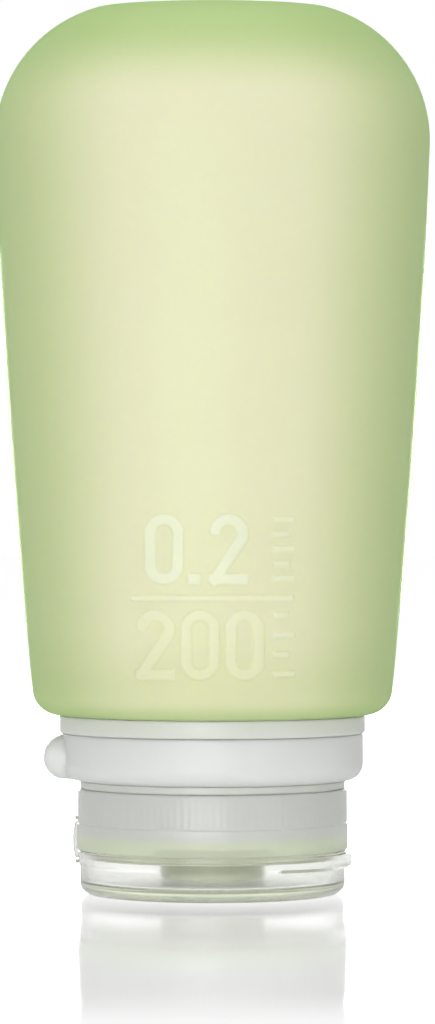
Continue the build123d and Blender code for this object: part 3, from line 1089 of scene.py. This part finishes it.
corners = ((-1, -1), (1, -1), (1, 1), (-1, 1))
floor_points = [(x * floor_half, y * floor_half, -floor_drop) for x, y in corners]
floor_mesh = bpy.data.meshes.new("table")
floor_mesh.from_pydata(floor_points, [], [(0, 1, 2, 3)])
table = bpy.data.objects.new("table", floor_mesh)
scene.collection.objects.link(table)
polish = bpy.data.materials.new("Polished white table")
polish.use_nodes = True
tree = polish.node_tree
tree.nodes.remove(tree.nodes["Principled BSDF"])
output = tree.nodes["Material Output"]
path = tree.nodes.new("ShaderNodeLightPath")
paint = tree.nodes.new("ShaderNodeBsdfDiffuse")
paint.inputs["Color"].default_value = paint_colour
glow = tree.nodes.new("ShaderNodeEmission")
glow.inputs["Strength"].default_value = 1
mirror = tree.nodes.new("ShaderNodeBsdfGlossy")
mirror.inputs["Color"].default_value = (1, 1, 1, 1)
mirror.inputs["Roughness"].default_value = polish_roughness
place = tree.nodes.new("ShaderNodeTexCoord")
away = tree.nodes.new("ShaderNodeVectorMath")
away.operation = "LENGTH"
tree.links.new(place.outputs["Object"], away.inputs[0])
distance = away.outputs["Value"]
add = sums(tree)
fade = ranged(tree, distance, near_edge, far_edge, near_share, far_share)
foot_fade = ranged(tree, distance, foot_edge, foot_end, foot_share, 1)
clear_share = add("MULTIPLY", fade, foot_fade)
bounced = add("MAXIMUM", path.outputs["Is Glossy Ray"], path.outputs["Is Transmission Ray"])
seen = add("MAXIMUM", path.outputs["Is Camera Ray"], bounced)
spread = ranged(tree, distance, glow_start, glow_end, near_glow, far_glow)
surface = tree.nodes.new("ShaderNodeMixShader")
tree.links.new(add("MULTIPLY", seen, spread), surface.inputs[0])
tree.links.new(paint.outputs[0], surface.inputs[1])
tree.links.new(glow.outputs[0], surface.inputs[2])
polished = tree.nodes.new("ShaderNodeMixShader")
tree.links.new(add("MULTIPLY", clear_share, path.outputs["Is Camera Ray"]), polished.inputs[0])
tree.links.new(surface.outputs[0], polished.inputs[1])
tree.links.new(mirror.outputs[0], polished.inputs[2])
tree.links.new(polished.outputs[0], output.inputs["Surface"])
floor_mesh.materials.append(polish)
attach(table, "cap_core")

world = bpy.data.worlds.new("White surround")
scene.world = world
world.use_nodes = True
tree = world.node_tree
backdrop = tree.nodes["Background"]
backdrop.inputs["Color"].default_value = (1, 1, 1, 1)
path = tree.nodes.new("ShaderNodeLightPath")
place = tree.nodes.new("ShaderNodeTexCoord")
parts = tree.nodes.new("ShaderNodeSeparateXYZ")
tree.links.new(place.outputs["Generated"], parts.inputs[0])
add = sums(tree)
front_back = add("ABSOLUTE", parts.outputs["Y"])
behind = ranged(tree, front_back, behind_start, behind_end, side_level, 1, "SMOOTHSTEP")
around = add("ADD", behind, add("MULTIPLY", parts.outputs["X"], side_tilt))
through = path.outputs["Is Transmission Ray"]
others = add("MULTIPLY", add("SUBTRACT", 1, through), plain_level)
level = add("MAXIMUM", add("MULTIPLY", through, around), others)
white_rays = add("MAXIMUM", path.outputs["Is Camera Ray"], path.outputs["Is Glossy Ray"])
tree.links.new(add("MAXIMUM", level, white_rays), backdrop.inputs["Strength"])

lamp_aim = Vector((0, 0, 0.06))
for name, where, width, height, power in (
    ("key_lamp", (-0.15, -1.02, 0.07), 0.6, 0.12, 5.6),
    ("fill_lamp", (0.7, -0.8, 0.07), 0.6, 0.12, 0.6),
    ("rear_lamp", (0.0, 1.02, 0.07), 0.6, 0.12, 3.6),
    ("overhead_lamp", (0, -0.05, 1.0), 0.8, 0.8, 5.0),
):
    lamp = bpy.data.lights.new(name, "AREA")
    lamp.shape = "RECTANGLE"
    lamp.size = width
    lamp.size_y = height
    lamp.energy = power
    holder = bpy.data.objects.new(name, lamp)
    holder.location = where
    holder.rotation_euler = (lamp_aim - Vector(where)).to_track_quat("-Z", "Y").to_euler()
    holder.visible_camera = False
    holder.visible_transmission = False
    scene.collection.objects.link(holder)


# Camera
# It looks almost level at the bottle's front, from about five and a half bottle heights away. The
# lens follows from that distance and from the height of the view.
eye = Vector((0.75 * mm, -735 * mm, 59.8 * mm))
aim = Vector((0.75 * mm, 0, 57.2 * mm))
view_height = 153.6 * mm
sensor_width = 36
most_bounces = 24
camera_data = bpy.data.cameras.new("camera")
camera_data.sensor_fit = "AUTO"
camera_data.sensor_width = sensor_width
camera_data.lens = sensor_width * (aim - eye).length / view_height
camera_data.clip_start = 0.01
camera = bpy.data.objects.new("camera", camera_data)
camera.location = eye
camera.rotation_euler = (aim - eye).to_track_quat("-Z", "Y").to_euler()
scene.collection.objects.link(camera)
scene.camera = camera
scene.view_settings.view_transform = "Standard"
scene.cycles.max_bounces = most_bounces
scene.cycles.transmission_bounces = most_bounces
